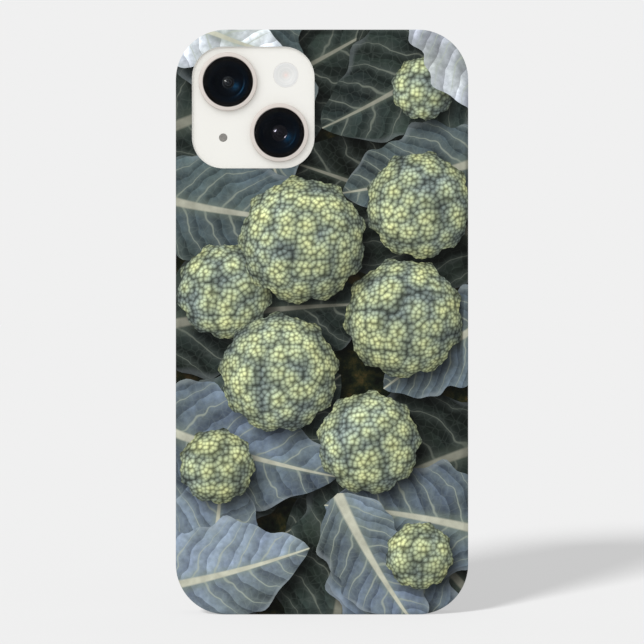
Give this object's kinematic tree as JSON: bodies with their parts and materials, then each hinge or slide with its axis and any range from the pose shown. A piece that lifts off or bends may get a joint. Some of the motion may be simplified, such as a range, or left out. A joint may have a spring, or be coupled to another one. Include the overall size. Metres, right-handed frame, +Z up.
{
  "type": "smartphone in a printed case",
  "caption": "Smartphone in a slim hard case with a printed leaf pattern on its back, a window for the rear cameras, pressing side keys and a sliding ring switch.",
  "frame": {"origin": "on the floor, under the middle of the box round the phone and its case", "axes": "+Z up the phone's length, +Y out of the screen, -Y out of the printed back, +X to the right as seen from behind the phone, on the side of the volume keys"},
  "size_m": [0.0752, 0.011, 0.1504],
  "materials": {
    "printed_shell": "satin, printed all over",
    "white_glass": "gloss, opaque white behind the glass",
    "black_glass": "gloss, opaque black",
    "lens_glass": "polished and coated",
    "anodised_aluminium": "fine satin, anodised",
    "steel": "satin",
    "black_plastic": "matt, moulded",
    "pale_plastic": "matt, moulded",
    "diffuser_plastic": "ribbed, translucent",
    "yellow_resin": "matt",
    "copper": "enamelled copper wire",
    "magnet": "nickel plated",
    "circuit_board": "lacquered board with steel cans",
    "battery_foil": "laminated foil"
  },
  "bodies": {
    "phone": {"antenna_band_1": "pale_plastic", "antenna_band_2": "pale_plastic", "antenna_band_3": "pale_plastic", "antenna_band_4": "pale_plastic", "back_glass": "white_glass", "battery": "battery_foil", "bottom_screw_left": "steel", "bottom_screw_right": "steel", "camera_module_lower": "steel", "camera_module_upper": "steel", "case_shell": "printed_shell", "charging_coil": "copper", "charging_port": "steel", "display_panel": "black_glass", "earpiece_mesh": "steel", "earpiece_speaker": "black_plastic", "flash_lens": "diffuser_plastic", "flash_light": "yellow_resin", "frame": "anodised_aluminium", "front_camera": "black_plastic", "front_glass": "black_glass", "haptic_motor": "steel", "lens_barrel_lower": "black_plastic", "lens_barrel_upper": "black_plastic", "lens_cover_lower": "lens_glass", "lens_cover_upper": "lens_glass", "lens_element_lower": "lens_glass", "lens_element_upper": "lens_glass", "lens_ring_lower": "anodised_aluminium", "lens_ring_upper": "anodised_aluminium", "logic_board": "circuit_board", "lower_speaker": "black_plastic", "magnet_bar": "magnet", "magnet_ring": "magnet", "midplate": "anodised_aluminium", "rear_microphone_mesh": "steel", "side_key_bracket": "steel", "sound_mesh_left": "steel", "sound_mesh_right": "steel", "volume_key_bracket": "steel"},
    "side_button": {"side_button": "anodised_aluminium"},
    "volume_up_button": {"volume_up_button": "anodised_aluminium"},
    "volume_down_button": {"volume_down_button": "anodised_aluminium"},
    "ring_switch": {"ring_switch": "anodised_aluminium"}
  },
  "joints": [
    {"name": "side_button_press", "type": "slide", "parent": "phone", "child": "side_button", "axis": [1, 0, 0], "range_m": [0, 0.0003], "stiffness_N_per_m": 1000, "springref_m": -0.0006},
    {"name": "volume_up_press", "type": "slide", "parent": "phone", "child": "volume_up_button", "axis": [-1, 0, 0], "range_m": [0, 0.0003], "stiffness_N_per_m": 1000, "springref_m": -0.0006},
    {"name": "volume_down_press", "type": "slide", "parent": "phone", "child": "volume_down_button", "axis": [-1, 0, 0], "range_m": [0, 0.0003], "stiffness_N_per_m": 1000, "springref_m": -0.0006},
    {"name": "ring_switch_slide", "type": "slide", "parent": "phone", "child": "ring_switch", "axis": [0, -1, 0], "range_m": [0, 0.0012]}
  ]
}
